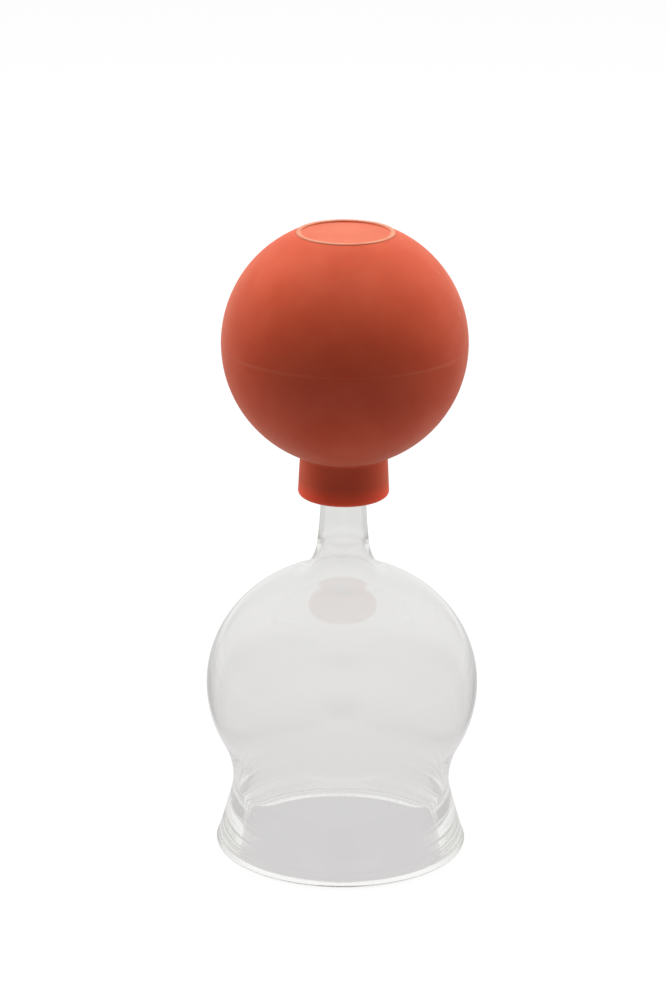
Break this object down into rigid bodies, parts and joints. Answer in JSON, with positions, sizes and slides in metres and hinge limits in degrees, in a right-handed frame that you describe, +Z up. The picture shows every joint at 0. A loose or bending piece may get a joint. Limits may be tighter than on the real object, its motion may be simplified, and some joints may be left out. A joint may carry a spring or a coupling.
{
  "type": "cupping glass",
  "caption": "Clear blown glass cupping bell with a waisted flared mouth and a red rubber suction ball whose collar grips the glass neck.",
  "frame": {"origin": "centre of the mouth, on the plane that the rim stands on", "axes": "+Z up along the axis of the glass and the ball; the part is round, so X and Y are free"},
  "size_m": [0.054, 0.054, 0.1264],
  "materials": {
    "clear_glass": "clear blown glass with a thick fire-polished lip",
    "red_rubber": "matte orange-red moulded rubber"
  },
  "bodies": {
    "cup": {"glass_cup": "clear_glass"},
    "bulb": {"bulb_collar": "red_rubber", "bulb_lower_shell": "red_rubber", "bulb_upper_shell": "red_rubber"},
    "thumb_pad": {"thumb_disc": "red_rubber"}
  },
  "joints": [
    {"name": "bulb_pull_off", "type": "slide", "parent": "cup", "child": "bulb", "axis": [0, 0, 1], "range_m": [0, 0.015]},
    {"name": "bulb_press", "type": "slide", "parent": "bulb", "child": "thumb_pad", "axis": [0, 0, -1], "range_m": [0, 0.02], "stiffness_N_per_m": 500, "deforming": ["bulb_lower_shell", "bulb_upper_shell"]}
  ]
}
